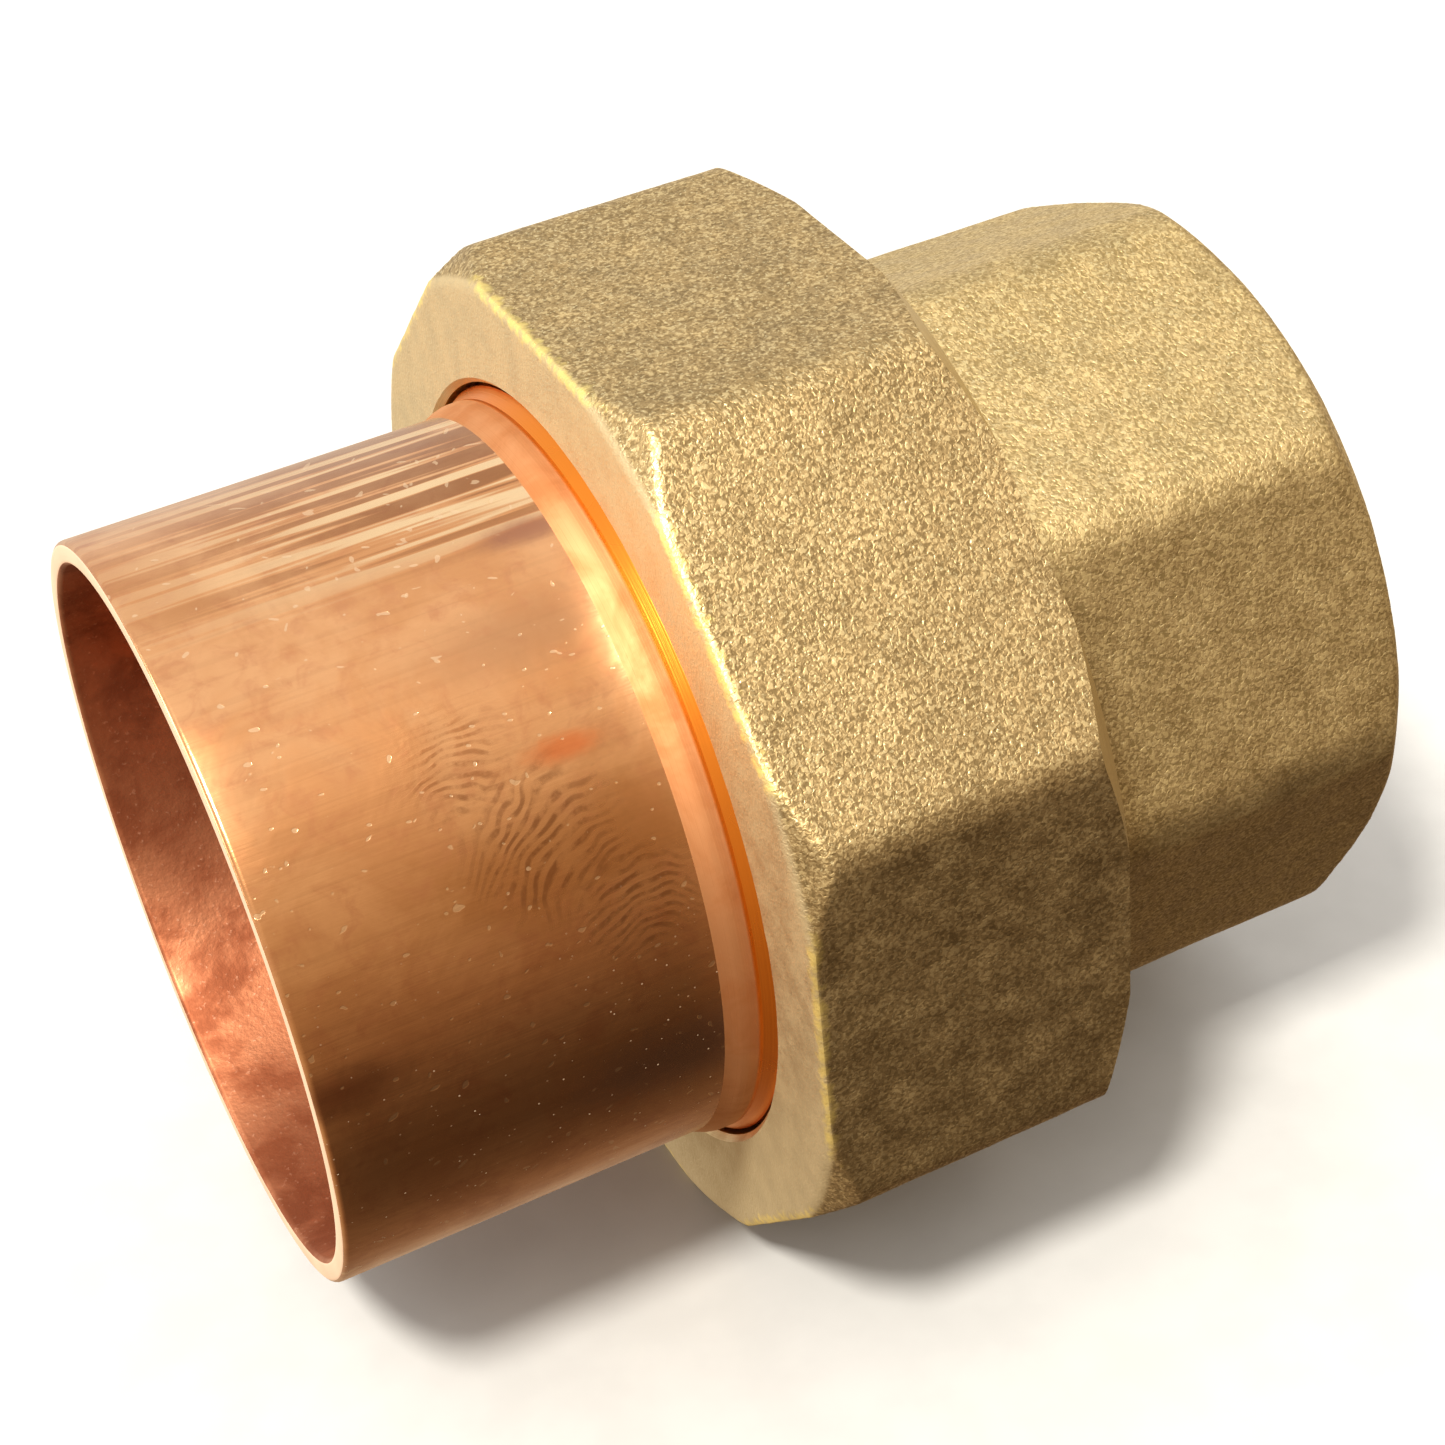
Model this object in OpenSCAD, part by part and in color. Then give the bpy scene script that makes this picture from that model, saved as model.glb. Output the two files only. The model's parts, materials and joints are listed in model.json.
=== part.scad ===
// Flat-seat pipe union: copper solder tail, union nut, sealing washer and
// octagonal brass body. Millimetres, +Z up. The origin is the centre of the
// body's socket mouth, with +X along the pipe axis and out of that mouth.

/* [Pipe] */
// Outside diameter of the pipe that each end takes
pipe_d = 35; // [28:0.5:42]
// Solder gap between pipe and socket, on the radius
solder_gap = 0.05; // [0.03:0.01:0.12]
// Depth of each socket, from its mouth to the pipe stop
socket_depth = 23; // [18:0.5:28]
// Width of the ledge that stops the pipe
stop_ledge = 1.25; // [0.8:0.05:2]

/* [Copper tail] */
// Wall of the tail's tube
tail_wall = 1.2; // [0.8:0.1:2]
// Metal behind the tail's pipe stop, flange included
tail_stop_t = 3.5; // [2:0.25:6]
// Rise of the shoulder above the tube, on the radius
shoulder_rise = 0.4; // [0.2:0.05:0.6]
// Length of the shoulder's cone, in front of the nut
shoulder_len = 2; // [1:0.25:4]
// How far the flange reaches past the mouth of the nut, on the radius
flange_hold = 1.25; // [0.8:0.05:2.5]
// Thickness of the flange
flange_t = 2.5; // [1.5:0.25:4]

/* [Sealing washer] */
// Thickness of the washer
washer_t = 2; // [1:0.25:4]
// How far the washer stands inside the flange's rim and outside its bore
washer_inset = 0.3; // [0.1:0.05:0.8]

/* [Union nut] */
// Thickness of the nut's front wall
nut_face = 3; // [2:0.25:5]
// Gap between the tail's neck and the mouth of the nut, on the radius
mouth_gap = 0.7; // [0.3:0.05:1.5]
// Gap between the flange and the nut's thread, on the radius
flange_gap = 0.9; // [0.5:0.05:1.5]
// Wall from the thread to the middle of a flat
nut_wall = 2.5; // [1.8:0.1:5]
// How far the nut reaches past the body's thread when tight
nut_skirt = 1; // [0.5:0.1:3]
// Radius of the forged edges between the flats
nut_edge_r = 2.2; // [1:0.1:4]
// Length of the turned cone on the front corners
nut_front_cone = 2; // [1:0.1:2.8]
// How far that cone cuts into the flats, on the radius
nut_front_inset = 0.5; // [0.1:0.05:1]
// Length of the turned cone on the back corners
nut_back_cone = 1.4; // [0.4:0.1:2]
// How far the back's rim stands outside the flats, on the radius
nut_back_rim = 0.35; // [0.1:0.05:0.8]

/* [Thread] */
// Length of the body's thread
thread_len = 7.5; // [6:0.25:10]
// Running gap between the threads at their pitch lines, on the radius
thread_gap = 0.3; // [0.25:0.05:0.4]
// Lead-in chamfer on both threads
thread_lead = 0.8; // [0.4:0.1:1.2]
// Depth of the relief groove where the nut's thread ends
relief_depth = 0.7; // [0.4:0.1:1]
// Width of that relief groove
relief_w = 1.5; // [1:0.1:2]

/* [Body] */
// Metal between the body's pipe stop and its sealing face
body_stop_t = 5; // [3:0.25:8]
// Wall from the socket to the middle of a flat
body_wall = 1.2; // [1:0.1:4]
// Radius of the forged edges between the flats
body_edge_r = 3.5; // [1:0.1:5]
// Length of the turned cone on the corners at the mouth
body_cone = 1.6; // [0.4:0.1:2.5]
// How far that cone cuts into the flats, on the radius
body_inset = 0.25; // [0.1:0.05:0.6]

/* [Hidden] */
$fn = 96;

FACES = 8;
FACE_ANGLE = 360 / FACES;
HALF_FACE = FACE_ANGLE / 2;
// Straight steps that round one forged edge: odd, so no line of the outline
// meets the seam of the turned cones
EDGE_STEPS = 7;
// Overshoot of a cut past the face that it opens through
CUT = 1;

BRASS = [0.76, 0.65, 0.42];
COPPER = [0.85, 0.52, 0.33];
RUBBER = [0.12, 0.12, 0.13];

// Radii grow outwards from the pipe, each from the one inside it
socket_r = pipe_d / 2 + solder_gap;
waterway_r = pipe_d / 2 - stop_ledge;
tail_r = socket_r + tail_wall;
neck_r = tail_r + shoulder_rise;
mouth_r = neck_r + mouth_gap;
flange_r = mouth_r + flange_hold;
nut_thread_r = flange_r + flange_gap;
body_thread_r = nut_thread_r - thread_gap;
nut_flats = 2 * (nut_thread_r + nut_wall);
body_flats = 2 * (socket_r + body_wall);

// Stations along the pipe axis, from the body's mouth at x = 0
seat_x = -socket_depth - body_stop_t;
collar_x = seat_x + thread_len;
nut_back_x = collar_x + nut_skirt;
flange_x = seat_x - washer_t;
ledge_x = flange_x - flange_t;
nut_front_x = ledge_x - nut_face;
tail_stop_x = flange_x - tail_stop_t;
tail_mouth_x = tail_stop_x - socket_depth;

// Outline of an octagon with rounded corners and a flat at angle 0
function octagon(flats, r) = [
    for (k = [0 : FACES - 1], i = [0 : EDGE_STEPS])
        let (
            corner = (k + 0.5) * FACE_ANGLE,
            reach = (flats / 2 - r) / cos(HALF_FACE),
            turn = (k + i / EDGE_STEPS) * FACE_ANGLE
        )
        reach * [cos(corner), sin(corner)] + r * [cos(turn), sin(turn)]
];

// A solid turned about the pipe axis, from [radius, x] points
module turned(points) {
    rotate([0, 90, 0]) rotate_extrude() polygon(points);
}

// An octagonal bar along the pipe axis. At each end a cone takes off the
// corners: it starts at rim radius and runs back to the corners' full reach.
module octagon_bar(flats, edge_r, x0, x1, rim0, cone0, rim1, cone1, spin = 0) {
    corner = flats / 2 / cos(HALF_FACE);
    intersection() {
        translate([x0, 0, 0]) rotate([spin, 0, 0]) rotate([0, 90, 0])
            linear_extrude(x1 - x0) polygon(octagon(flats, edge_r));
        turned([
            [0, x0 - CUT], [rim0, x0 - CUT], [rim0, x0], [corner, x0 + cone0],
            [corner, x1 - cone1], [rim1, x1], [rim1, x1 + CUT], [0, x1 + CUT]
        ]);
    }
}

// Octagonal grip, threaded collar and a bore stepped at the pipe stop.
// Its flats stand half a face round from the nut's.
module brass_body() {
    color(BRASS) difference() {
        union() {
            octagon_bar(body_flats, body_edge_r, collar_x - CUT, 0,
                body_flats / 2, CUT, body_flats / 2 - body_inset, body_cone, HALF_FACE);
            turned([
                [0, seat_x], [body_thread_r - thread_lead, seat_x],
                [body_thread_r, seat_x + thread_lead],
                [body_thread_r, collar_x - thread_lead],
                [body_thread_r - thread_lead, collar_x], [0, collar_x]
            ]);
        }
        turned([
            [0, seat_x - CUT], [waterway_r, seat_x - CUT], [waterway_r, -socket_depth],
            [socket_r, -socket_depth], [socket_r, CUT], [0, CUT]
        ]);
    }
}

// Flat ring squeezed between the body's sealing face and the tail's flange
module sealing_washer() {
    color(RUBBER) turned([
        [waterway_r + washer_inset, flange_x], [flange_r - washer_inset, flange_x],
        [flange_r - washer_inset, seat_x], [waterway_r + washer_inset, seat_x]
    ]);
}

// Thin solder socket, a shoulder up to the thicker neck, and the flange
module copper_tail() {
    color(COPPER) turned([
        [socket_r, tail_mouth_x], [tail_r, tail_mouth_x],
        [tail_r, nut_front_x - shoulder_len], [neck_r, nut_front_x],
        [neck_r, ledge_x], [flange_r, ledge_x],
        [flange_r, flange_x], [waterway_r, flange_x],
        [waterway_r, tail_stop_x], [socket_r, tail_stop_x]
    ]);
}

// Octagonal nut: a plain mouth, the ledge behind it, then the thread
module union_nut() {
    color(BRASS) difference() {
        octagon_bar(nut_flats, nut_edge_r, nut_front_x, nut_back_x,
            nut_flats / 2 - nut_front_inset, nut_front_cone,
            nut_flats / 2 + nut_back_rim, nut_back_cone);
        turned([
            [0, nut_front_x - CUT], [mouth_r, nut_front_x - CUT], [mouth_r, ledge_x],
            [nut_thread_r + relief_depth, ledge_x],
            [nut_thread_r + relief_depth, ledge_x + relief_w],
            [nut_thread_r, ledge_x + relief_w + relief_depth],
            [nut_thread_r, nut_back_x - thread_lead],
            [nut_thread_r + thread_lead, nut_back_x],
            [nut_thread_r + thread_lead, nut_back_x + CUT], [0, nut_back_x + CUT]
        ]);
    }
}

brass_body();
sealing_washer();
copper_tail();
union_nut();
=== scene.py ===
"""Flat-seat pipe union: forged brass body and nut, sealing washer and copper solder tail."""
import json
import math

import bmesh
import bpy
from mathutils import Matrix, Vector


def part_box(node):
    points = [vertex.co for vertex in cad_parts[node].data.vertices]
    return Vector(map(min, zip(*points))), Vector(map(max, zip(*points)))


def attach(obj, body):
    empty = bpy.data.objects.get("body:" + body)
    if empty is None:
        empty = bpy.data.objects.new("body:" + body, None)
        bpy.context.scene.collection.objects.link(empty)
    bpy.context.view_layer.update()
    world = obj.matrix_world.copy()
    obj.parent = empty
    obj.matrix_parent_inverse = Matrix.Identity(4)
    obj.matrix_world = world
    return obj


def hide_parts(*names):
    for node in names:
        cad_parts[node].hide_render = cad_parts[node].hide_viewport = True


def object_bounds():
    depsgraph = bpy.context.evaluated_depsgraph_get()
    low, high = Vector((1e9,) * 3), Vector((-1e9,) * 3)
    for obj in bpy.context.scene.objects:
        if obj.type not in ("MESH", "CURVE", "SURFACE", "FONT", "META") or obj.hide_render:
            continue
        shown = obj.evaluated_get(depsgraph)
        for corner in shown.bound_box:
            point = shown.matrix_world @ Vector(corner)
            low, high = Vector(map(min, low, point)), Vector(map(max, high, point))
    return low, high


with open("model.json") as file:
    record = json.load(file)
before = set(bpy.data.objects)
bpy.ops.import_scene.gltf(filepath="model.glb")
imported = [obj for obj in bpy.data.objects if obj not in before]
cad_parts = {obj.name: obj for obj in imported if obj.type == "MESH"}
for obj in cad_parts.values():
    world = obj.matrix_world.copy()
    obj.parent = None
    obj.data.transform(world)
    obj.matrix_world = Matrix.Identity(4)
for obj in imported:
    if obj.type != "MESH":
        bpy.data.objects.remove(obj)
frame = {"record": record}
cad_low, cad_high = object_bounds()


# ---- Camera -----------------------------------------------------------------
# A short telephoto close to the part, above it and to the left of its front,
# held a little askew. The lens is aimed a hair off the middle of the part.
MM = 0.001
CAMERA_AZIMUTH = math.radians(-22.96)
CAMERA_HEIGHT = math.radians(37.04)
CAMERA_ROLL = math.radians(-6.4)
CAMERA_DISTANCE = 146.3 * MM
CAMERA_LENS = 71.7
AIM_OFFSET = Vector((0.2, -0.1, -0.4)) * MM

back = Vector((
    math.sin(CAMERA_AZIMUTH) * math.cos(CAMERA_HEIGHT),
    -math.cos(CAMERA_AZIMUTH) * math.cos(CAMERA_HEIGHT),
    math.sin(CAMERA_HEIGHT),
))
level = Vector((math.cos(CAMERA_AZIMUTH), math.sin(CAMERA_AZIMUTH), 0))
right = Matrix.Rotation(CAMERA_ROLL, 3, back) @ level
axes = Matrix((right, back.cross(right), back)).transposed()
aim = (cad_low + cad_high) / 2 + AIM_OFFSET
bpy.ops.object.camera_add(
    location=aim + back * CAMERA_DISTANCE,
    rotation=axes.to_euler(),
)
camera = bpy.context.object
camera.name = "camera"
camera.data.lens = CAMERA_LENS
camera.data.clip_start = MM
bpy.context.scene.camera = camera


# ---- Brass body -------------------------------------------------------------
# A hot brass forging, blasted clean: an octagonal grip whose socket takes the
# pipe. The threaded collar, the sealing face and the bore are then turned.
body_mouth = next(m for m in frame["record"]["mounts"] if m["name"] == "body_socket")["dims"]
SOCKET_R = body_mouth["r_mm"] * MM
SOCKET_DEPTH = body_mouth["length_mm"] * MM
WATERWAY_R = 16.25 * MM
BODY_FLATS = 37.5 * MM
BODY_EDGE_R = 3.5 * MM
BODY_CONE = 1.6 * MM
BODY_INSET = 0.25 * MM
COLLAR_BACK = -20.5 * MM
COLLAR_RIM = 20.9 * MM
# How far the grip's blank runs on at both ends, to be trimmed off
GRIP_SPARE = 1.2 * MM
BORE_BREAK = 0.3 * MM
# Overshoot of a cut past the face that it opens through
CUT = MM
# The collar's thread: radii of crest and root, and the ridge's widths there
THREAD_PITCH = 2 * MM
THREAD_TURNS = 8
MALE_CREST = 22.35 * MM
MALE_ROOT = 21.27 * MM
MALE_CREST_W = 0.28 * MM
MALE_ROOT_W = 1.55 * MM
# How deep a ridge's foot is sunk in the metal that it joins
THREAD_BURY = 0.4 * MM
FACES = 8
EDGE_STEPS = 6
ROUND_STEPS = 4
TURN_STEPS = 128
SHARP_ANGLE = math.radians(32)
# Points closer than this are merged
TOUCH = 0.001 * MM
# The forging's skin: size of its voxels, rounds of smoothing, and the size
# and height of the unevenness that dies and blasting leave
BODY_GRAIN = 0.22 * MM
BODY_SMOOTHING = 7
BODY_LUMPS = ((3.5 * MM, 0.09 * MM), (1.1 * MM, 0.02 * MM))
PEEL_SIZE = 0.21 * MM
PEEL_DEPTH = 0.0175 * MM
FINE_SIZE = 0.09 * MM
SPARK_SIZE = 0.16 * MM
PATCH_SIZE = 1.6 * MM
CLOUD_SIZE = 6 * MM
# Rings left by turning
RING_SIZE = 0.06 * MM
RING_DEPTH = 0.012 * MM
TARNISH_SIZE = 3 * MM


def pick(kind, wanted):
    """In edit mode, selects just the vertices, edges or faces that wanted says yes to."""
    bpy.ops.mesh.select_mode(type=kind)
    bpy.ops.mesh.select_all(action="DESELECT")
    form = bmesh.from_edit_mesh(bpy.context.object.data)
    parts = {"VERT": form.verts, "EDGE": form.edges, "FACE": form.faces}[kind]
    for part in parts:
        if wanted(part):
            part.select_set(True)
    bmesh.update_edit_mesh(bpy.context.object.data)


def draw_outline(name, points):
    """A closed wire through (x, radius) points above the pipe axis, left in edit mode.
    A third number on a point rounds that corner by so much."""
    bpy.ops.object.select_all(action="DESELECT")
    bpy.ops.mesh.primitive_plane_add(size=MM, location=(0, 0, 0), enter_editmode=True)
    bpy.context.object.name = name
    bpy.ops.mesh.select_mode(type="VERT")
    bpy.ops.mesh.select_all(action="SELECT")
    bpy.ops.mesh.merge(type="CENTER")
    at = Vector((points[0][0], 0, points[0][1]))
    bpy.ops.transform.translate(value=at)
    for point in list(points[1:]) + [points[0]]:
        step = Vector((point[0], 0, point[1])) - at
        bpy.ops.mesh.extrude_region_move(TRANSFORM_OT_translate={"value": step})
        at = at + step
    bpy.ops.mesh.select_all(action="SELECT")
    bpy.ops.mesh.remove_doubles(threshold=TOUCH)
    for x, radius, *rounding in points:
        if rounding:
            corner = Vector((x, 0, radius))
            pick("VERT", lambda v: (v.co - corner).length < 2 * TOUCH)
            bpy.ops.mesh.bevel(offset=rounding[0], segments=ROUND_STEPS, affect="VERTICES")


def settle(piece):
    """Merges what meets, turns the faces outwards and puts the place into the mesh."""
    bpy.ops.mesh.select_all(action="SELECT")
    bpy.ops.mesh.remove_doubles(threshold=TOUCH)
    bpy.ops.mesh.normals_make_consistent(inside=False)
    bpy.ops.object.mode_set(mode="OBJECT")
    bpy.ops.object.transform_apply(location=True, rotation=True, scale=True)
    return piece


def turn(name, points, split_over=None):
    """A piece turned on the lathe: its outline spun once round the pipe axis.
    Edges of the outline longer than split_over are split in ten."""
    draw_outline(name, points)
    pick("EDGE", lambda edge: all(v.co.z < TOUCH for v in edge.verts))
    bpy.ops.mesh.delete(type="EDGE")
    if split_over:
        pick("EDGE", lambda edge: edge.calc_length() > split_over)
        bpy.ops.mesh.subdivide(number_cuts=9)
    bpy.ops.mesh.select_all(action="SELECT")
    bpy.ops.mesh.spin(steps=TURN_STEPS, angle=math.tau, center=(0, 0, 0), axis=(1, 0, 0))
    return settle(bpy.context.object)


def coil(name, start, root_r, root_w, crest_r, crest_w):
    """One thread ridge: its section wound round the pipe axis as a right-hand screw."""
    draw_outline(name, [
        (start - root_w / 2, root_r - THREAD_BURY), (start - root_w / 2, root_r),
        (start - crest_w / 2, crest_r), (start + crest_w / 2, crest_r),
        (start + root_w / 2, root_r), (start + root_w / 2, root_r - THREAD_BURY),
    ])
    bpy.ops.object.mode_set(mode="OBJECT")
    bpy.ops.object.transform_apply(location=True, rotation=True, scale=True)
    winding = apply_last("SCREW", axis="X", screw_offset=THREAD_PITCH, iterations=THREAD_TURNS,
                         steps=TURN_STEPS, render_steps=TURN_STEPS)
    bpy.ops.object.mode_set(mode="EDIT")
    bpy.ops.mesh.select_all(action="SELECT")
    bpy.ops.mesh.fill_holes(sides=0)
    return settle(winding)


def apply_last(kind, piece=None, **settings):
    """Adds one modifier to a piece, sets it and applies it."""
    piece = piece or bpy.context.object
    bpy.ops.object.select_all(action="DESELECT")
    piece.select_set(True)
    bpy.context.view_layer.objects.active = piece
    bpy.ops.object.modifier_add(type=kind)
    modifier = piece.modifiers[-1]
    for key, value in settings.items():
        setattr(modifier, key, value)
    bpy.ops.object.modifier_apply(modifier=modifier.name)
    return piece


def combine(piece, other, how):
    """Joins, cuts or trims a piece with another shape, which is then thrown away."""
    apply_last("BOOLEAN", piece, operation=how, object=other, solver="MANIFOLD")
    bpy.data.objects.remove(other)
    return piece


def dress(piece, *materials):
    """Gives a piece its materials, all its faces in the last of them."""
    piece.data.materials.clear()
    for material in materials:
        piece.data.materials.append(material)
    last = len(materials) - 1
    for face in piece.data.polygons:
        face.material_index = last
    return piece


def octagon_bar(name, flats, edge_r, x0, x1, spin):
    """An octagonal bar along the pipe axis, its long edges rounded."""
    half_face = math.pi / FACES
    bpy.ops.object.select_all(action="DESELECT")
    bpy.ops.mesh.primitive_cylinder_add(
        vertices=FACES, radius=flats / 2 / math.cos(half_face), depth=x1 - x0,
        location=((x0 + x1) / 2, 0, 0), rotation=(0, math.pi / 2, 0), enter_editmode=True)
    bpy.context.object.name = name
    bpy.ops.transform.rotate(value=spin, orient_axis="X", center_override=(0, 0, 0))
    pick("EDGE", lambda e: abs(e.verts[0].co.z - e.verts[1].co.z) > (x1 - x0) / 2)
    bpy.ops.mesh.bevel(offset=edge_r * math.tan(half_face), segments=EDGE_STEPS)
    return settle(bpy.context.object)


def weather(piece, grain, rounding, lumps):
    """Turns a sharp blank into a blasted forging: soft edges and an uneven skin."""
    apply_last("REMESH", piece, mode="VOXEL", voxel_size=grain)
    apply_last("SMOOTH", piece, factor=0.5, iterations=rounding)
    for size, height in lumps:
        skin = bpy.data.textures.new("skin", "CLOUDS")
        skin.noise_scale = size
        skin.noise_depth = 1
        apply_last("DISPLACE", piece, texture=skin, texture_coords="LOCAL",
                   strength=height, mid_level=0.5)
        bpy.data.textures.remove(skin)
    return piece


def linear(code):
    """A shade written as rrggbb, in the linear light that shaders take."""
    parts = [int(code[i:i + 2], 16) / 255 for i in (0, 2, 4)]
    return tuple(p / 12.92 if p < 0.04045 else ((p + 0.055) / 1.055) ** 2.4 for p in parts) + (1,)


class Finish:
    """A material, built up node by node."""

    def __init__(self, name, metallic):
        self.material = bpy.data.materials.new(name)
        self.material.use_nodes = True
        self.tree = self.material.node_tree
        self.shader = self.tree.nodes["Principled BSDF"]
        self.shader.inputs["Metallic"].default_value = metallic
        self.place = self.tree.nodes.new("ShaderNodeTexCoord").outputs["Object"]

    def wire(self, value, socket):
        if isinstance(value, bpy.types.NodeSocket):
            self.tree.links.new(value, socket)
        else:
            socket.default_value = value

    def add(self, kind, inputs, **settings):
        node = self.tree.nodes.new(kind)
        for key, value in settings.items():
            setattr(node, key, value)
        for key, value in inputs.items():
            self.wire(value, node.inputs[key])
        return node

    def calc(self, how, a, b=0.0, c=0.0):
        return self.add("ShaderNodeMath", {0: a, 1: b, 2: c}, operation=how).outputs[0]

    def stretch(self, scale, place=None, move=(0, 0, 0), rotation=(0, 0, 0)):
        source = place or self.place
        return self.add("ShaderNodeMapping", {
            "Vector": source, "Location": move, "Rotation": rotation, "Scale": scale,
        }).outputs[0]

    def noise(self, size, detail=2.0, roughness=0.5, twist=0.0, place=None):
        return self.add("ShaderNodeTexNoise", {
            "Vector": place or self.place, "Scale": 1 / size, "Detail": detail,
            "Roughness": roughness, "Distortion": twist,
        }).outputs[0]

    def band(self, value, low, high, out_low=0.0, out_high=1.0):
        return self.add("ShaderNodeMapRange", {
            "Value": value, "From Min": low, "From Max": high,
            "To Min": out_low, "To Max": out_high,
        }, interpolation_type="SMOOTHSTEP").outputs[0]

    def mix(self, amount, a, b, how="MIX"):
        node = self.add("ShaderNodeMix", {0: amount, 6: a, 7: b},
                        data_type="RGBA", blend_type=how)
        return node.outputs[2]

    def split(self):
        """The x, y and z of the place."""
        return self.add("ShaderNodeSeparateXYZ", {0: self.place}).outputs

    def radius(self):
        """Distance from the pipe axis."""
        flat = self.stretch((0, 1, 1))
        return self.add("ShaderNodeVectorMath", {0: flat}, operation="LENGTH").outputs["Value"]

    def along_rings(self):
        """A place that is the same all the way round each ring about the pipe axis."""
        x = self.split()[0]
        return self.add("ShaderNodeCombineXYZ", {0: x, 1: self.radius(), 2: 0.0}).outputs[0]

    def bump(self, height, depth, normal=None):
        inputs = {"Height": height, "Distance": depth, "Strength": 1.0}
        if normal:
            inputs["Normal"] = normal
        return self.add("ShaderNodeBump", inputs).outputs[0]

    def finish(self, colour, roughness, normal):
        self.wire(colour, self.shader.inputs["Base Color"])
        self.wire(roughness, self.shader.inputs["Roughness"])
        self.wire(normal, self.shader.inputs["Normal"])
        return self.material


def blasted_brass(name, base, dull, glint):
    """Shot-blasted brass: an orange-peel skin, with painted shade in its hollows and a painted
    highlight on its peaks.
    """
    look = Finish(name, 1.0)
    peel = look.noise(PEEL_SIZE, 1.5, 0.4, 0.6)
    fine = look.noise(FINE_SIZE, 1.0, 0.5)
    cloud = look.noise(CLOUD_SIZE, 3.0, 0.55, 0.3)
    patch = look.noise(PATCH_SIZE, 2.0, 0.6)
    relief = look.calc("ADD", look.band(peel, 0.3, 0.7), look.calc("MULTIPLY", fine, 0.3))
    colour = look.mix(look.band(cloud, 0.42, 0.7, 0.0, 0.3), base, dull)
    colour = look.mix(look.band(patch, 0.5, 0.8, 0.0, 0.15), colour, dull)
    # Painted shade: the hollows of the peel take the dull colour
    colour = look.mix(look.band(peel, 0.5, 0.34, 0.0, 0.9), colour, dull)
    # Painted highlight: the peaks of the peel take the glint colour
    colour = look.mix(look.band(peel, 0.54, 0.66, 0.0, 0.6), colour, glint)
    uneven = look.calc("ADD", patch, look.calc("MULTIPLY", peel, 0.5))
    rough = look.band(uneven, 0.5, 1.0, 0.6, 0.45)
    # Painted highlights: tiny pale specks where the skin sparkles; the lower roughness there is real
    painted_sparkle = look.band(look.noise(SPARK_SIZE, 1.0, 0.5, 0.4), 0.6, 0.72)
    colour = look.mix(look.calc("MULTIPLY", painted_sparkle, 0.6), colour, linear("fbeab8"))
    rough = look.calc("SUBTRACT", rough, look.calc("MULTIPLY", painted_sparkle, 0.1))
    return look, colour, rough, relief


def turned_brass(name):
    """Bright brass off the lathe, with fine rings round it."""
    look = Finish(name, 1.0)
    cuts = look.noise(RING_SIZE, 2.0, 0.6, 0.0, look.along_rings())
    tarnish = look.noise(TARNISH_SIZE, 3.0, 0.6, 0.5)
    colour = look.mix(look.band(tarnish, 0.35, 0.7), linear("ead8a8"), linear("d6bf8c"))
    colour = look.mix(look.band(cuts, 0.55, 0.3, 0.0, 0.35), colour, linear("a8915c"))
    rough = look.band(tarnish, 0.3, 0.7, 0.28, 0.42)
    return look.finish(colour, rough, look.bump(cuts, RING_DEPTH))


# The glint colour is a painted highlight on the peel's peaks; the dull colour is the brass's darker
# tone and also painted shade in its hollows
look, colour, rough, relief = blasted_brass(
    "body_blasted_brass", linear("c4ac7c"), linear("a08a5c"), linear("f0dca4"))
body_skin = look.finish(colour, rough, look.bump(relief, PEEL_DEPTH))
machined = turned_brass("turned_brass")

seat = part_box("brass_body")[0][0]
body = octagon_bar("forged_body", BODY_FLATS, BODY_EDGE_R, COLLAR_BACK - GRIP_SPARE,
                   GRIP_SPARE, 0)
corner_r = BODY_FLATS / 2 / math.cos(math.pi / FACES)
trim = turn("trim", [
    (COLLAR_BACK - 2 * GRIP_SPARE, 0), (COLLAR_BACK - 2 * GRIP_SPARE, corner_r),
    (-BODY_CONE, corner_r), (0, BODY_FLATS / 2 - BODY_INSET), (0, 0),
])
combine(body, trim, "INTERSECT")
weather(body, BODY_GRAIN, BODY_SMOOTHING, BODY_LUMPS)
dress(body, body_skin)
body.data.materials.append(machined)

collar = turn("collar", [
    (seat - CUT, 0), (seat - CUT, MALE_ROOT),
    (COLLAR_BACK + CUT, MALE_ROOT), (COLLAR_BACK + CUT, 0),
])
thread_start = seat - 2 * THREAD_PITCH
ridge = coil("ridge", thread_start, MALE_ROOT, MALE_ROOT_W, MALE_CREST, MALE_CREST_W)
combine(collar, ridge, "UNION")
lead = MALE_CREST - COLLAR_RIM
envelope = turn("envelope", [
    (seat, 0), (seat, COLLAR_RIM), (seat + lead, MALE_CREST), (COLLAR_BACK - lead, MALE_CREST),
    (COLLAR_BACK, COLLAR_RIM), (COLLAR_BACK, 0),
])
combine(collar, envelope, "INTERSECT")
dress(collar, body_skin, machined)
combine(body, collar, "UNION")
bore = dress(turn("bore", [
    (seat - CUT, 0), (seat - CUT, WATERWAY_R + BORE_BREAK), (seat, WATERWAY_R + BORE_BREAK),
    (seat + BORE_BREAK, WATERWAY_R), (-SOCKET_DEPTH, WATERWAY_R), (-SOCKET_DEPTH, SOCKET_R),
    (-BORE_BREAK, SOCKET_R), (0, SOCKET_R + BORE_BREAK), (CUT, SOCKET_R + BORE_BREAK), (CUT, 0),
]), body_skin, machined)
combine(body, bore, "DIFFERENCE")
bpy.ops.object.shade_smooth_by_angle(angle=SHARP_ANGLE)
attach(body, "body")
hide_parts("brass_body")


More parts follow.
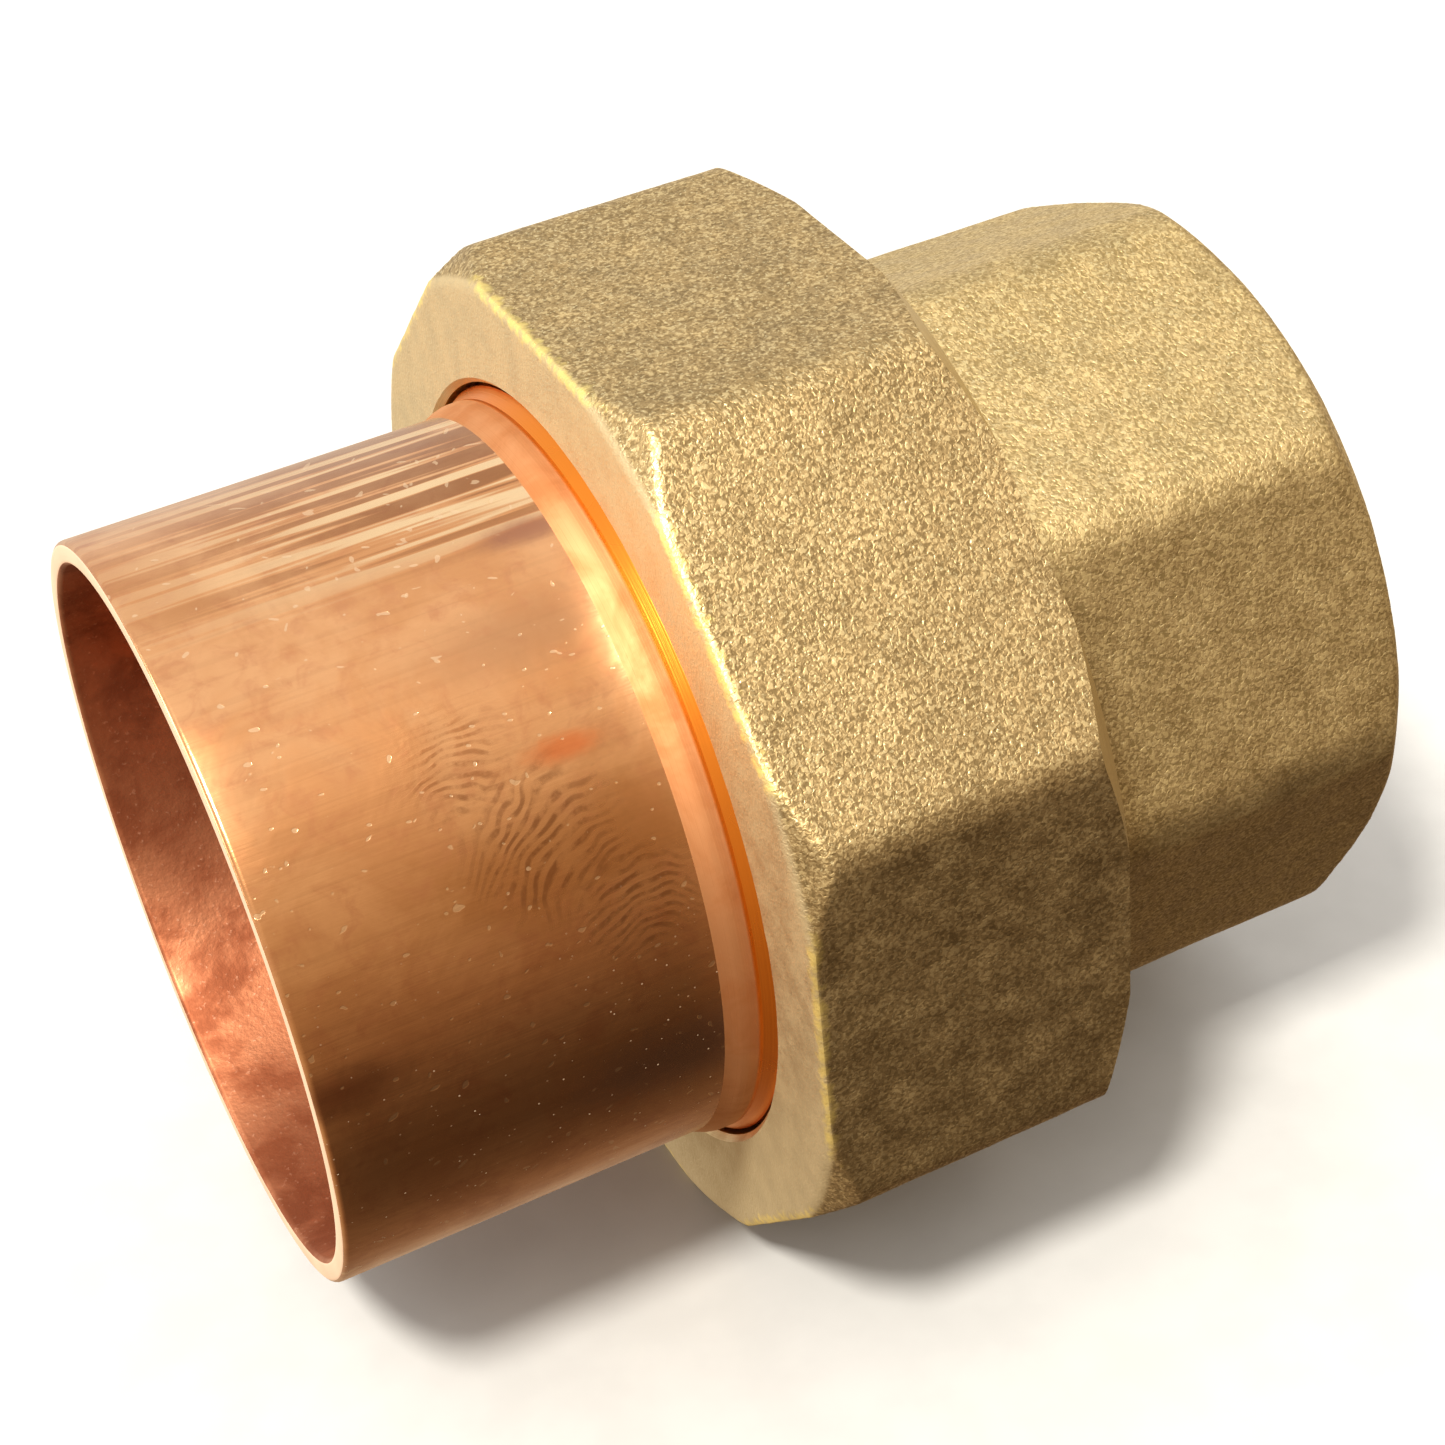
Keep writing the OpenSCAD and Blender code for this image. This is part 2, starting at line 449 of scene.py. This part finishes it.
# ---- Sealing washer ---------------------------------------------------------
# A flat rubber ring, punched from sheet, squeezed between the body's sealing
# face and the tail's flange. Its punched edges are slightly soft.
WASHER_SOFT = 0.25 * MM
WASHER_BORE = 16.55 * MM
CLOTH_SIZE = 0.18 * MM
CLOTH_DEPTH = 0.03 * MM
BLOOM_SIZE = 2.5 * MM


def pressed_rubber(name):
    """Black rubber with a faint bloom and the texture of the pressed sheet."""
    look = Finish(name, 0.0)
    cloth = look.noise(CLOTH_SIZE, 3.0, 0.6)
    bloom = look.noise(BLOOM_SIZE, 4.0, 0.6, 0.6)
    colour = look.mix(look.band(bloom, 0.4, 0.72), linear("1b1b1c"), linear("3a3936"))
    colour = look.mix(look.band(cloth, 0.62, 0.75, 0.0, 0.5), colour, linear("5a5853"))
    rough = look.band(bloom, 0.3, 0.7, 0.5, 0.75)
    return look.finish(colour, rough, look.bump(cloth, CLOTH_DEPTH))


washer_low, washer_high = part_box("sealing_washer")
washer_r = washer_high[1]
washer = dress(turn("punched_washer", [
    (washer_low[0], WASHER_BORE, WASHER_SOFT), (washer_low[0], washer_r, WASHER_SOFT),
    (washer_high[0], washer_r, WASHER_SOFT), (washer_high[0], WASHER_BORE, WASHER_SOFT),
]), pressed_rubber("pressed_rubber"))
bpy.ops.object.shade_smooth_by_angle(angle=SHARP_ANGLE)
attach(washer, "washer")
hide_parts("sealing_washer")


# ---- Copper tail ------------------------------------------------------------
# Copper turned and sized from thick tube: a thin solder socket, a shoulder up
# to the thicker neck, and the flange that the nut pulls against the washer.
TAIL_R = 18.75 * MM
NECK_R = 19.15 * MM
SHOULDER_LEN = 2 * MM
SHOULDER_STEP = 0.9 * MM
# How far the neck swells just inside the nut's mouth
NECK_SWELL = 0.45 * MM
FLANGE_T = 2.5 * MM
TAIL_STOP_T = 3.5 * MM
RIM_SOFT = 0.28 * MM
TAIL_SPLIT = 4 * MM
tail_low, tail_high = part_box("copper_tail")
tail_mouth, flange_face, flange_r = tail_low[0], tail_high[0], tail_high[1]
nut_low, nut_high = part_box("union_nut")
nut_front, nut_back, nut_half = nut_low[0], nut_high[0], nut_high[1]
ledge = flange_face - FLANGE_T
tail_stop = flange_face - TAIL_STOP_T
shoulder = nut_front - SHOULDER_LEN
# Streaks along the tube: broad bars, which paint dark and pale reflections on the tube's top, and
# lines and hairs that drawing leaves. Their length along the pipe axis is squeezed to this share
# when their noise is read.
BAR_SIZE = 0.75 * MM
BAR_SQUEEZE = 0.03
LINE_SIZE = 0.4 * MM
LINE_SQUEEZE = 0.02
HAIR_SIZE = 0.1 * MM
HAIR_SQUEEZE = 0.04
HAIR_DEPTH = 0.004 * MM
# What handling leaves: soft dents, a film, scratches that lean two ways, and dust
BLOTCH_SIZE = 5 * MM
BLOTCH_DEPTH = 0.05 * MM
FILM_SIZE = 1.3 * MM
SCRATCH_SIZE = 0.5 * MM
SCRATCH_SQUEEZE = 0.03
SCRATCH_LEANS = (0.5, -0.9)
DUST_SPACING = 0.5 * MM
MARK_DEPTH = 0.012 * MM
# The neck's rings and stains, the part of it that the nut rubs, which carries a painted reflection,
# the pale part of the rim, which carries a painted highlight, and the specks inside the socket
NECK_RING_SIZE = 0.08 * MM
NECK_RING_DEPTH = 0.01 * MM
NECK_STAIN_SIZE = 4 * MM
RUB_GLEAM_WIDTH = 0.5 * MM
RIM_HIGHLIGHT_WIDTH = 0.3 * MM
SPECK_SIZE = 0.3 * MM
SPECK_DEPTH = 0.02 * MM
# Prints of a finger: how far apart their ridges are and how they wander, the sizes
# of what is torn off and faint, and each one's middle, whorl and size
RIDGE_SPACING = 0.49 * MM
WANDER_SIZE = 4 * MM
WANDER_REACH = 3 * MM
TORN_SIZE = 1.2 * MM
FAINT_SIZE = 0.9 * MM
PRINTS = (
    (Vector((-43.6, -15.8, 10.0)) * MM, Vector((-39.6, -18.2, 4.6)) * MM, 4.0 * MM),
    (Vector((-40.4, -17.7, 6.2)) * MM, Vector((-40.4, -18.4, 1.5)) * MM, 3.2 * MM),
    (Vector((-46.2, -13.0, 13.4)) * MM, Vector((-46.0, -16.0, 9.5)) * MM, 3.0 * MM),
)
# Stains, drawn out along the tube: middle, size, shade and strength
STAIN_SQUEEZE = 0.35
STAINS = (
    (Vector((-38.6, -5.0, 18.0)) * MM, 0.9 * MM, "a8705c", 0.7),
    (Vector((-41.4, -13.8, 12.7)) * MM, 0.7 * MM, "ee7434", 0.6),
    (Vector((-38.5, -18.4, -2.5)) * MM, 2.6 * MM, "ac8676", 0.6),
    (Vector((-55.5, -18.4, 3.0)) * MM, 1.3 * MM, "7a4630", 0.6),
    (Vector((-42.5, -16.4, 9.0)) * MM, 3.0 * MM, "b4743e", 0.55),
    (Vector((-40.5, -9.5, 16.0)) * MM, 2.0 * MM, "c48c62", 0.6),
)


def reach_from(look, at, squeeze=1.0):
    """Distance from a point, with lengths along the pipe axis squeezed."""
    away = look.stretch((squeeze, 1, 1), move=(-squeeze * at.x, -at.y, -at.z))
    return look.add("ShaderNodeVectorMath", {0: away}, operation="LENGTH").outputs["Value"]


def fingerprint(look, at, whorl, size):
    """How dark a finger's print is, its ridges being arcs about a whorl."""
    wander = look.calc("MULTIPLY", look.noise(WANDER_SIZE, 2.0, 0.5), WANDER_REACH)
    away = look.calc("ADD", reach_from(look, whorl), wander)
    rings = look.calc("MULTIPLY", away, math.tau / RIDGE_SPACING)
    ridges = look.calc("MULTIPLY_ADD", look.calc("SINE", rings), 0.5, 0.5)
    torn = look.calc("MULTIPLY", look.noise(TORN_SIZE, 3.0, 0.6), 0.8 * size)
    there = look.band(look.calc("ADD", reach_from(look, at), torn), 1.5 * size, 0.8 * size)
    faint = look.band(look.noise(FAINT_SIZE, 3.0, 0.6), 0.36, 0.6, 0.15, 1.0)
    return look.calc("MULTIPLY", look.calc("MULTIPLY", there, faint), look.band(ridges, 0.2, 0.9))


def polished_copper(name):
    """Drawn copper, handled: bars of painted reflection on top, stains, prints, scratches, dust."""
    look = Finish(name, 1.0)
    x, y, z = look.split()
    lines = look.noise(LINE_SIZE, 2.0, 0.6, 0.0, look.stretch((LINE_SQUEEZE, 1, 1)))
    hair = look.noise(HAIR_SIZE, 2.0, 0.7, 0.0, look.stretch((HAIR_SQUEEZE, 1, 1)))
    bars = look.noise(BAR_SIZE, 2.0, 0.5, 0.0, look.stretch((BAR_SQUEEZE, 1, 1)))
    blotch = look.noise(BLOTCH_SIZE, 4.0, 0.6, 0.4)
    film = look.noise(FILM_SIZE, 4.0, 0.65, 0.5)
    colour = look.mix(look.band(blotch, 0.36, 0.64), linear("f1b480"), linear("dd9e6b"))
    colour = look.mix(look.band(film, 0.45, 0.75, 0.0, 0.5), colour, linear("d08a62"))
    colour = look.mix(look.band(lines, 0.5, 0.36, 0.0, 0.08), colour, linear("8a5532"))
    # Painted reflections: dark and pale streaks laid only along the tube's top, fading towards its
    # mouth
    across = look.calc("MULTIPLY", look.band(y, -0.34 * TAIL_R, -0.14 * TAIL_R),
                       look.band(y, 0.65 * TAIL_R, 0.3 * TAIL_R))
    upper = look.calc("MULTIPLY", look.band(z, 0.0, 0.5 * TAIL_R), across)
    top = look.calc("MULTIPLY", upper,
                    look.band(x, tail_mouth - 2 * MM, shoulder - 3 * MM, 0.15, 1.0))
    dark_reflection_streaks = look.calc("MULTIPLY", top, look.band(bars, 0.5, 0.56))
    pale = look.calc("MULTIPLY", top, look.band(bars, 0.5, 0.44))
    colour = look.mix(look.calc("MULTIPLY", dark_reflection_streaks, 0.6), colour, linear("7d4c30"))
    colour = look.mix(look.calc("MULTIPLY", pale, 0.8), colour, linear("ffe2b4"))
    rough = look.band(blotch, 0.3, 0.7, 0.17, 0.27)
    height = look.calc("MULTIPLY", lines, 0.25)
    for at, size, shade, strength in STAINS:
        ragged = look.calc("MULTIPLY", film, size)
        wide = look.calc("ADD", reach_from(look, at, STAIN_SQUEEZE), ragged)
        there = look.band(wide, 1.8 * size, 0.7 * size, 0.0, strength)
        colour = look.mix(there, colour, linear(shade))
    for at, whorl, size in PRINTS:
        dark = fingerprint(look, at, whorl, size)
        colour = look.mix(look.calc("MULTIPLY", dark, 0.7), colour, linear("784522"))
        rough = look.calc("ADD", rough, look.calc("MULTIPLY", dark, 0.16))
        height = look.calc("ADD", height, look.calc("MULTIPLY", dark, 0.3))
    for lean in SCRATCH_LEANS:
        leaning = look.stretch((1, 1, 1), rotation=(0, lean, lean))
        drawn_out = look.stretch((SCRATCH_SQUEEZE, 1, 1), leaning)
        scratch = look.band(look.noise(SCRATCH_SIZE, 1.0, 0.4, 0.0, drawn_out), 0.735, 0.76)
        colour = look.mix(look.calc("MULTIPLY", scratch, 0.5), colour, linear("ffdcb4"))
        height = look.calc("SUBTRACT", height, look.calc("MULTIPLY", scratch, 0.4))
    dots = look.add("ShaderNodeTexVoronoi", {
        "Vector": look.place, "Scale": 1 / DUST_SPACING, "Randomness": 1.0}).outputs["Distance"]
    low_down = look.band(z, 0.55 * TAIL_R, -0.1 * TAIL_R)
    thick = look.calc("MULTIPLY", look.band(film, 0.35, 0.6), low_down)
    dust = look.calc("MULTIPLY", look.band(dots, 0.11, 0.07), thick)
    colour = look.mix(dust, colour, linear("fff0dc"))
    rough = look.calc("ADD", rough, look.calc("MULTIPLY", dust, 0.5))
    normal = look.bump(height, MARK_DEPTH)
    normal = look.bump(hair, HAIR_DEPTH, normal)
    return look.finish(colour, rough, look.bump(blotch, BLOTCH_DEPTH, normal))


def matt_copper(name):
    """Copper off the lathe and left dull, pale at the rim with a painted highlight, and bright where
    the nut rubs the neck, that brightness a painted reflection of the nut's face.
    """
    look = Finish(name, 1.0)
    x = look.split()[0]
    cuts = look.noise(NECK_RING_SIZE, 2.0, 0.6, 0.0, look.along_rings())
    stain = look.noise(NECK_STAIN_SIZE, 4.0, 0.6, 0.6)
    colour = look.mix(look.band(stain, 0.36, 0.66), linear("d09668"), linear("bf8152"))
    # Painted reflection: the saturated orange by the nut's mouth stands in for the nut's lit face
    # mirrored in the copper; the lower roughness there is real rubbing
    rub_and_painted_gleam = look.band(x, nut_front - RUB_GLEAM_WIDTH, nut_front - 0.6 * RUB_GLEAM_WIDTH)
    colour = look.mix(rub_and_painted_gleam, colour, linear("f28c30"))
    # Painted highlight: the pale colour at the mouth's end stands in for the light line along the
    # rim
    rim = look.band(x, tail_mouth + RIM_HIGHLIGHT_WIDTH, tail_mouth + RIM_HIGHLIGHT_WIDTH / 3)
    colour = look.mix(rim, colour, linear("f8d8bc"))
    rough = look.calc("MULTIPLY", look.band(stain, 0.3, 0.7, 0.6, 0.7),
                      look.band(rub_and_painted_gleam, 0.0, 1.0, 1.0, 0.45))
    return look.finish(colour, rough, look.bump(cuts, NECK_RING_DEPTH))


def tarnished_copper(name):
    """The inside of the socket: dull reddish copper with a darker film."""
    look = Finish(name, 1.0)
    film = look.noise(TARNISH_SIZE, 4.0, 0.6, 0.3)
    speck = look.noise(SPECK_SIZE, 3.0, 0.6)
    colour = look.mix(look.band(film, 0.36, 0.66), linear("b67654"), linear("925438"))
    colour = look.mix(look.band(speck, 0.6, 0.75, 0.0, 0.4), colour, linear("e8b494"))
    rough = look.band(film, 0.3, 0.7, 0.5, 0.64)
    return look.finish(colour, rough, look.bump(look.calc("ADD", film, speck), SPECK_DEPTH))


tail = turn("drawn_tail", [
    (tail_mouth, SOCKET_R, RIM_SOFT), (tail_mouth, TAIL_R, RIM_SOFT), (shoulder, TAIL_R),
    (shoulder + SHOULDER_STEP, NECK_R, RIM_SOFT), (nut_front - NECK_SWELL / 2, NECK_R),
    (nut_front + NECK_SWELL, NECK_R + NECK_SWELL), (ledge, NECK_R + NECK_SWELL),
    (ledge, flange_r, RIM_SOFT), (flange_face, flange_r, RIM_SOFT),
    (flange_face, WATERWAY_R, RIM_SOFT), (tail_stop, WATERWAY_R), (tail_stop, SOCKET_R),
], split_over=TAIL_SPLIT)
dress(tail, polished_copper("polished_copper"), tarnished_copper("tarnished_copper"),
      matt_copper("turned_copper"))
for face in tail.data.polygons:
    out = math.hypot(face.center.y, face.center.z)
    if face.center.x < shoulder and out > TAIL_R - RIM_SOFT / 2:
        face.material_index = 0
    elif face.center.x < tail_stop and out < SOCKET_R + RIM_SOFT / 2:
        face.material_index = 1
bpy.ops.object.shade_smooth_by_angle(angle=SHARP_ANGLE)
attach(tail, "tail")
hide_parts("copper_tail")


# ---- Union nut --------------------------------------------------------------
# The same hot forging and blasting in brass: eight flats for the spanner. The
# mouth, the ledge, the thread, the back face and its corner cone are turned.
NUT_EDGE_R = 2.2 * MM
FRONT_CONE = 1.5 * MM
FRONT_RIM = 0.45 * MM
BACK_CONE = 1.4 * MM
BACK_RIM = 0.35 * MM
MOUTH_R = 19.85 * MM
NUT_LEAD = 1.1 * MM
RELIEF_R = 22.75 * MM
RELIEF_W = 1.5 * MM
FEMALE_CREST = 21.45 * MM
FEMALE_ROOT = 22.6 * MM
FEMALE_CREST_W = 1.62 * MM
FEMALE_ROOT_W = 0.36 * MM
NUT_GRAIN = 0.24 * MM
NUT_SMOOTHING = 3
NUT_LUMPS = ((3.5 * MM, 0.07 * MM), (1.1 * MM, 0.025 * MM))
# The front's edge is worn by rubbing and carries a painted highlight, from none to most at these
# distances from it, and wanders by RAG_REACH. The front face's own skin ends at these depths.
RUB_GLEAM_FROM, RUB_GLEAM_TO = 1.3 * MM, 0.75 * MM
RAG_SIZE = 0.6 * MM
RAG_REACH = 1.4 * MM
FACE_FROM, FACE_TO = 0.35 * MM, 0.1 * MM


def nut_brass():
    """The nut's blasted skin, paler on its front face, and worn by rubbing at that face's edge,
    where a painted highlight brightens it.
    """
    # The glint colour is a painted highlight on the peel's peaks; the dull colour is the brass's
    # darker tone and also painted shade in its hollows
    look, colour, rough, relief = blasted_brass(
        "nut_blasted_brass", linear("b1986c"), linear("8a744e"), linear("ead4a0"))
    x, y, z = look.split()
    slant = math.sqrt(0.5)
    across = [look.calc("ABSOLUTE", v) for v in (
        y, z, look.calc("MULTIPLY", look.calc("ADD", y, z), slant),
        look.calc("MULTIPLY", look.calc("SUBTRACT", y, z), slant))]
    reach = look.calc("MAXIMUM", look.calc("MAXIMUM", across[0], across[1]),
                      look.calc("MAXIMUM", across[2], across[3]))
    behind = look.calc("SUBTRACT", x, nut_front)
    inside = look.calc("SUBTRACT", nut_half, reach)
    ragged = look.calc("MULTIPLY", look.noise(RAG_SIZE, 3.0), RAG_REACH)
    near_edge = look.calc("ADD", look.calc("ADD", behind, inside), ragged)
    rub_and_painted_gleam = look.band(near_edge, RUB_GLEAM_FROM, RUB_GLEAM_TO, 0.0, 0.8)
    face = look.band(behind, FACE_FROM, FACE_TO)
    colour = look.mix(face, colour, linear("c8b690"))
    # Painted highlight: the bright yellow at the front's edge stands in for light caught on the
    # chamfer; the slightly lower roughness and smoothed skin there are real wear
    colour = look.mix(rub_and_painted_gleam, colour, linear("f0da88"))
    rough = look.calc("ADD", rough, look.calc("MULTIPLY", face, 0.15))
    rough = look.calc("SUBTRACT", rough, look.calc("MULTIPLY", rub_and_painted_gleam, 0.05))
    smooth = look.calc("MAXIMUM", look.calc("MULTIPLY", face, 0.1),
                       look.calc("MULTIPLY", rub_and_painted_gleam, 0.5))
    height = look.calc("MULTIPLY", relief, look.calc("SUBTRACT", 1.0, smooth))
    return look.finish(colour, rough, look.bump(height, PEEL_DEPTH))


nut_skin = nut_brass()

nut = octagon_bar("forged_nut", 2 * nut_half, NUT_EDGE_R, nut_front, nut_back + CUT,
                  math.pi / FACES)
corner_r = nut_half / math.cos(math.pi / FACES)
trim = turn("trim", [
    (nut_front, 0), (nut_front, nut_half + FRONT_RIM), (nut_front + FRONT_CONE, corner_r),
    (nut_back + 2 * CUT, corner_r), (nut_back + 2 * CUT, 0),
])
combine(nut, trim, "INTERSECT")
weather(nut, NUT_GRAIN, NUT_SMOOTHING, NUT_LUMPS)
dress(nut, nut_skin)
nut.data.materials.append(machined)
relief_end = ledge + RELIEF_W + RELIEF_R - FEMALE_CREST
bore = dress(turn("bore", [
    (nut_front - CUT, 0), (nut_front - CUT, MOUTH_R + BORE_BREAK),
    (nut_front, MOUTH_R + BORE_BREAK), (nut_front + BORE_BREAK, MOUTH_R), (ledge, MOUTH_R),
    (ledge, RELIEF_R), (ledge + RELIEF_W, RELIEF_R), (relief_end, FEMALE_CREST),
    (nut_back - NUT_LEAD, FEMALE_CREST), (nut_back, FEMALE_CREST + NUT_LEAD),
    (nut_back, nut_half + BACK_RIM), (nut_back - BACK_CONE, corner_r),
    (nut_back - BACK_CONE, corner_r + CUT), (nut_back + 2 * CUT, corner_r + CUT),
    (nut_back + 2 * CUT, 0),
]), nut_skin, machined)
combine(nut, bore, "DIFFERENCE")
groove = coil("groove", thread_start, FEMALE_CREST, FEMALE_CREST_W, FEMALE_ROOT, FEMALE_ROOT_W)
span = turn("span", [
    (ledge + RELIEF_W / 2, 0), (ledge + RELIEF_W / 2, RELIEF_R), (nut_back + CUT, RELIEF_R),
    (nut_back + CUT, 0),
])
combine(groove, span, "INTERSECT")
dress(groove, nut_skin, machined)
combine(nut, groove, "DIFFERENCE")
bpy.ops.object.shade_smooth_by_angle(angle=SHARP_ANGLE)
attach(nut, "nut")
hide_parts("union_nut")


# ---- Floor ------------------------------------------------------------------
# A plain pale table top under the nut's lowest flat. Metal doesn't mirror it.
FLOOR_SIZE = 4
FLOOR_SPECK = 4 * MM
bpy.ops.object.select_all(action="DESELECT")
bpy.ops.mesh.primitive_plane_add(size=FLOOR_SIZE, location=(0, 0, cad_low.z))
floor = bpy.context.object
floor.name = "floor"
look = Finish("pale_floor", 0.0)
speck = look.noise(FLOOR_SPECK, 3.0)
tone = look.mix(look.band(speck, 0.3, 0.7), linear("a3a2a0"), linear("a7a6a4"))
floor.data.materials.append(look.finish(tone, 0.9, look.bump(speck, 0.02 * MM)))
floor.visible_glossy = False


# ---- Light ------------------------------------------------------------------
# A round soft light high on the left, an even glow from above and a small card
# beside the tail's mouth. The studio round them, which the metal mirrors, is
# pale above and behind the part, and dark in front of it and below.
KEY_FROM = Vector((-0.38, -0.32, 0.87)).normalized()
KEY_DISTANCE = 1.2
KEY_SIZE = 0.2
KEY_POWER = 26
KEY_COLOUR = (1.0, 0.96, 0.88)
FILL_SPREAD = math.radians(120)
FILL_POWER = 3.0
CARD_FROM = Vector((-0.42, 0.16, 0.05))
CARD_SIZE = 0.2
CARD_POWER = 0.6
# The studio's palest side, and its shades from the side opposite to that
PALE_SIDE = Vector((-0.3, 0.5, 0.75)).normalized()
SHADES = ((0.0, "4a3c2e"), (0.14, "8e745a"), (0.3, "bca688"), (0.5, "dccab0"), (0.7, "f6ecdc"),
          (0.9, "fffcf6"))
BACKDROP = "f4f3f1"


def area_light(name, offset, shape, size, power):
    """A flat light at an offset from the part's middle, facing it."""
    bpy.ops.object.light_add(type="AREA", location=aim + offset,
                             rotation=offset.to_track_quat("Z", "Y").to_euler())
    light = bpy.context.object
    light.name = name
    light.data.shape = shape
    light.data.size = size
    light.data.energy = power
    return light


key = area_light("key_light", KEY_FROM * KEY_DISTANCE, "DISK", KEY_SIZE, KEY_POWER)
key.data.color = KEY_COLOUR

bpy.ops.object.light_add(type="SUN", location=aim + Vector((0, 0, 1)))
fill = bpy.context.object
fill.name = "fill_light"
fill.data.angle = FILL_SPREAD
fill.data.energy = FILL_POWER
fill.visible_glossy = False

area_light("side_card", CARD_FROM, "SQUARE", CARD_SIZE, CARD_POWER)

world = bpy.data.worlds.new("studio")
bpy.context.scene.world = world
world.use_nodes = True
tree = world.node_tree
direction = tree.nodes.new("ShaderNodeTexCoord").outputs["Generated"]
facing = tree.nodes.new("ShaderNodeVectorMath")
facing.operation = "DOT_PRODUCT"
facing.inputs[1].default_value = PALE_SIDE
tree.links.new(direction, facing.inputs[0])
# From -1 to 1, to 0 to 1
share = tree.nodes.new("ShaderNodeMath")
share.operation = "MULTIPLY_ADD"
share.inputs[1].default_value = 0.5
share.inputs[2].default_value = 0.5
tree.links.new(facing.outputs["Value"], share.inputs[0])
ramp = tree.nodes.new("ShaderNodeValToRGB")
tree.links.new(share.outputs[0], ramp.inputs[0])
while len(ramp.color_ramp.elements) < len(SHADES):
    ramp.color_ramp.elements.new(0.5)
for element, (stop, code) in zip(ramp.color_ramp.elements, SHADES):
    element.position = stop
    element.color = linear(code)
# The eye sees a plain backdrop instead of those shades
seen = tree.nodes.new("ShaderNodeLightPath").outputs["Is Camera Ray"]
choice = tree.nodes.new("ShaderNodeMix")
choice.data_type = "RGBA"
choice.inputs[7].default_value = linear(BACKDROP)
tree.links.new(seen, choice.inputs[0])
tree.links.new(ramp.outputs[0], choice.inputs[6])
tree.links.new(choice.outputs[2], tree.nodes["Background"].inputs["Color"])
bpy.context.scene.view_settings.view_transform = "Standard"
